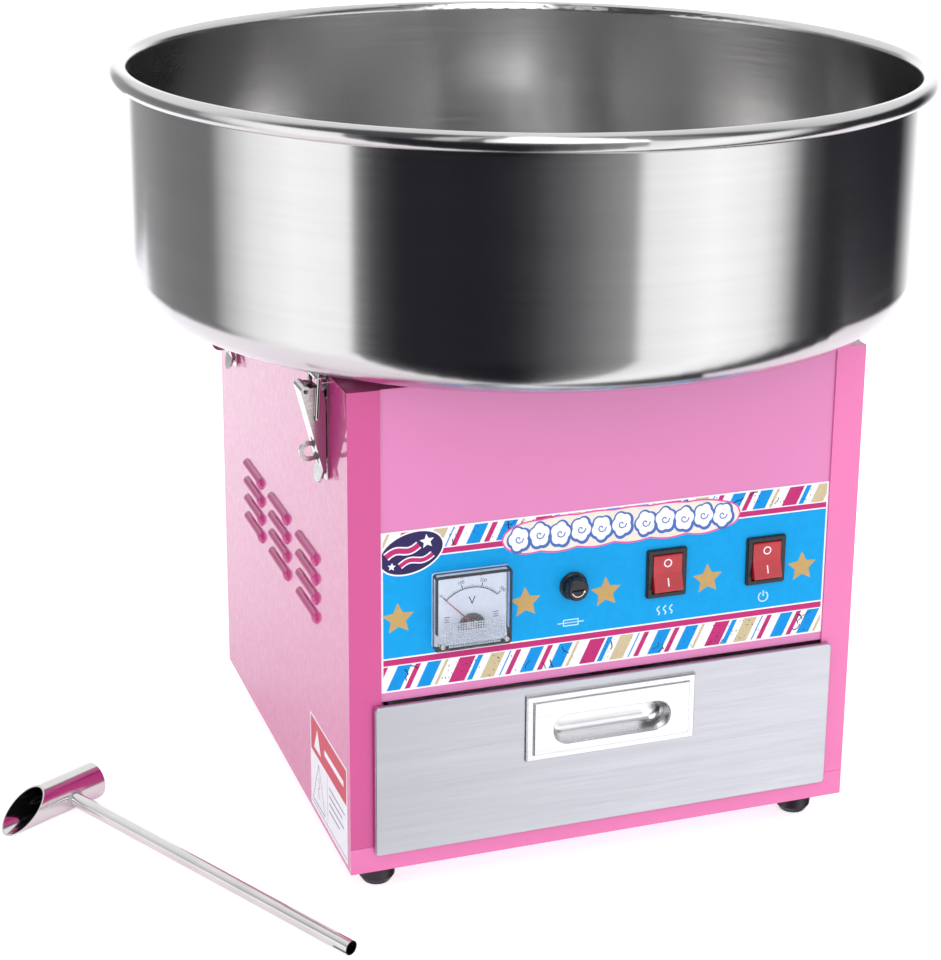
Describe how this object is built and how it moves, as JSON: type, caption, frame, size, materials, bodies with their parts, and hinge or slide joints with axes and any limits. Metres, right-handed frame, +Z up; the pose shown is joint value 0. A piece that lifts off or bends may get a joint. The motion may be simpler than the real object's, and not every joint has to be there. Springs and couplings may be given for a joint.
{
  "type": "candy floss machine",
  "caption": "Countertop candy floss machine: square sheet-steel cabinet with drawer and control strip, wide latched steel bowl, heated spinner head, and a sugar scoop.",
  "frame": {"origin": "on the surface the feet stand on, under the middle of the cabinet", "axes": "+Z up, front (controls and drawer) towards -Y, +X to the right seen from the front"},
  "size_m": [0.6126, 0.52, 0.4817],
  "materials": {
    "pink_enamel": "gloss powder coat",
    "label_film": "printed polyester",
    "foot_rubber": "matt",
    "screw_steel": "zinc plate",
    "bowl_steel": "circumferentially brushed",
    "gasket_rubber": "silicone",
    "head_aluminium": "spun",
    "latch_steel": "bright stainless",
    "bracket_zinc": "zinc plate",
    "drawer_steel": "satin brushed",
    "tray_steel": "mill finish",
    "handle_steel": "satin nickel plate",
    "black_plastic": "moulded",
    "dial_card": "printed",
    "clear_plastic": "clear acrylic",
    "needle_red": "painted",
    "fuse_glass": "glass tube with nickel ends",
    "rocker_red": "translucent red",
    "insulator": "phenolic",
    "motor_paint": "black enamel",
    "mount_rubber": "matt",
    "shaft_steel": "ground",
    "slip_brass": "turned",
    "carbon": "carbon graphite",
    "ribbon_metal": "heat-tinted ribbon",
    "scoop_steel": "polished stainless"
  },
  "bodies": {
    "machine": {"base_pan": "pink_enamel", "left_side_panel": "pink_enamel", "right_side_panel": "pink_enamel", "front_panel": "pink_enamel", "back_panel": "pink_enamel", "top_plate": "pink_enamel", "control_label": "label_film", "rubber_feet": "foot_rubber", "foot_screws": "screw_steel", "back_panel_screws": "screw_steel", "bowl": "bowl_steel", "bowl_gasket": "gasket_rubber", "centre_collar": "head_aluminium", "bowl_catches": "latch_steel", "latch_bases": "latch_steel", "latch_pins": "latch_steel", "drawer_runners": "bracket_zinc", "meter_case": "black_plastic", "meter_dial": "dial_card", "meter_cover": "clear_plastic", "meter_screws": "screw_steel", "fuse_holder": "black_plastic", "fuse_nut": "black_plastic", "heat_switch": "black_plastic", "power_switch": "black_plastic", "cable_gland": "black_plastic", "gland_nut": "black_plastic", "terminal_block": "insulator", "motor_housing": "motor_paint", "motor_bracket": "bracket_zinc", "rubber_mounts": "mount_rubber", "mount_screws": "screw_steel", "brush_holder": "insulator", "carbon_brushes": "carbon"},
    "spinner": {"motor_shaft": "shaft_steel", "cooling_fan": "black_plastic", "slip_ring_hub": "insulator", "slip_rings": "slip_brass", "head_base": "head_aluminium", "head_band": "head_aluminium", "heating_element": "ribbon_metal", "head_cap": "head_aluminium"},
    "drawer": {"drawer_front": "drawer_steel", "drawer_tray": "tray_steel", "drawer_handle": "handle_steel"},
    "heat_rocker": {"heat_rocker": "rocker_red"},
    "power_rocker": {"power_rocker": "rocker_red"},
    "meter_needle": {"meter_needle": "needle_red"},
    "fuse_carrier": {"fuse_cartridge": "fuse_glass"},
    "fuse_cap": {"fuse_cap": "black_plastic"},
    "scoop": {"scoop_cup": "scoop_steel", "scoop_handle": "scoop_steel"},
    "latch_lever_front_left": {"latch_lever_front_left": "latch_steel"},
    "latch_bail_front_left": {"latch_bail_front_left": "latch_steel"},
    "latch_lever_rear_left": {"latch_lever_rear_left": "latch_steel"},
    "latch_bail_rear_left": {"latch_bail_rear_left": "latch_steel"},
    "latch_lever_front_right": {"latch_lever_front_right": "latch_steel"},
    "latch_bail_front_right": {"latch_bail_front_right": "latch_steel"},
    "latch_lever_rear_right": {"latch_lever_rear_right": "latch_steel"},
    "latch_bail_rear_right": {"latch_bail_rear_right": "latch_steel"}
  },
  "joints": [
    {"name": "head_spin", "type": "hinge", "parent": "machine", "child": "spinner", "pos_m": [0, 0, 0.345], "axis": [0, 0, 1], "continuous": true},
    {"name": "drawer_slide", "type": "slide", "parent": "machine", "child": "drawer", "axis": [0, -1, 0], "range_m": [0, 0.2]},
    {"name": "heat_rocker_tilt", "type": "hinge", "parent": "machine", "child": "heat_rocker", "pos_m": [0.036, -0.16355, 0.189], "axis": [1, 0, 0], "range_deg": [0, 18]},
    {"name": "power_rocker_tilt", "type": "hinge", "parent": "machine", "child": "power_rocker", "pos_m": [0.103, -0.16355, 0.189], "axis": [1, 0, 0], "range_deg": [0, 18]},
    {"name": "meter_needle_swing", "type": "hinge", "parent": "machine", "child": "meter_needle", "pos_m": [-0.0901, -0.16925, 0.1743], "axis": [0, 1, 0], "range_deg": [0, 90], "stiffness_Nm_per_rad": 0.0001},
    {"name": "fuse_pull", "type": "slide", "parent": "machine", "child": "fuse_carrier", "axis": [0, -1, 0], "range_m": [0, 0.035]},
    {"name": "fuse_cap_turn", "type": "hinge", "parent": "fuse_carrier", "child": "fuse_cap", "pos_m": [-0.0247, -0.16405, 0.188], "axis": [0, -1, 0], "range_deg": [-90, 0]},
    {"name": "scoop_lift", "type": "slide", "parent": "machine", "child": "scoop", "axis": [0, 0, 1], "range_m": [0, 0.25]},
    {"name": "latch_lever_front_left_hinge", "type": "hinge", "parent": "machine", "child": "latch_lever_front_left", "pos_m": [-0.1745, -0.119, 0.3093], "axis": [0, 1, 0], "range_deg": [0, 90]},
    {"name": "latch_bail_front_left_hinge", "type": "hinge", "parent": "latch_lever_front_left", "child": "latch_bail_front_left", "pos_m": [-0.1726, -0.119, 0.2972], "axis": [0, 1, 0], "range_deg": [-135, 0]},
    {"name": "latch_lever_rear_left_hinge", "type": "hinge", "parent": "machine", "child": "latch_lever_rear_left", "pos_m": [-0.1745, 0.119, 0.3093], "axis": [0, 1, 0], "range_deg": [0, 90]},
    {"name": "latch_bail_rear_left_hinge", "type": "hinge", "parent": "latch_lever_rear_left", "child": "latch_bail_rear_left", "pos_m": [-0.1726, 0.119, 0.2972], "axis": [0, 1, 0], "range_deg": [-135, 0]},
    {"name": "latch_lever_front_right_hinge", "type": "hinge", "parent": "machine", "child": "latch_lever_front_right", "pos_m": [0.1745, -0.119, 0.3093], "axis": [0, -1, 0], "range_deg": [0, 90]},
    {"name": "latch_bail_front_right_hinge", "type": "hinge", "parent": "latch_lever_front_right", "child": "latch_bail_front_right", "pos_m": [0.1726, -0.119, 0.2972], "axis": [0, -1, 0], "range_deg": [-135, 0]},
    {"name": "latch_lever_rear_right_hinge", "type": "hinge", "parent": "machine", "child": "latch_lever_rear_right", "pos_m": [0.1745, 0.119, 0.3093], "axis": [0, -1, 0], "range_deg": [0, 90]},
    {"name": "latch_bail_rear_right_hinge", "type": "hinge", "parent": "latch_lever_rear_right", "child": "latch_bail_rear_right", "pos_m": [0.1726, 0.119, 0.2972], "axis": [0, -1, 0], "range_deg": [-135, 0]}
  ],
  "couplings": [
    {"joint": "latch_bail_front_left_hinge", "follows": "latch_lever_front_left_hinge", "ratio": -1.5},
    {"joint": "latch_bail_rear_left_hinge", "follows": "latch_lever_rear_left_hinge", "ratio": -1.5},
    {"joint": "latch_bail_front_right_hinge", "follows": "latch_lever_front_right_hinge", "ratio": -1.5},
    {"joint": "latch_bail_rear_right_hinge", "follows": "latch_lever_rear_right_hinge", "ratio": -1.5}
  ]
}
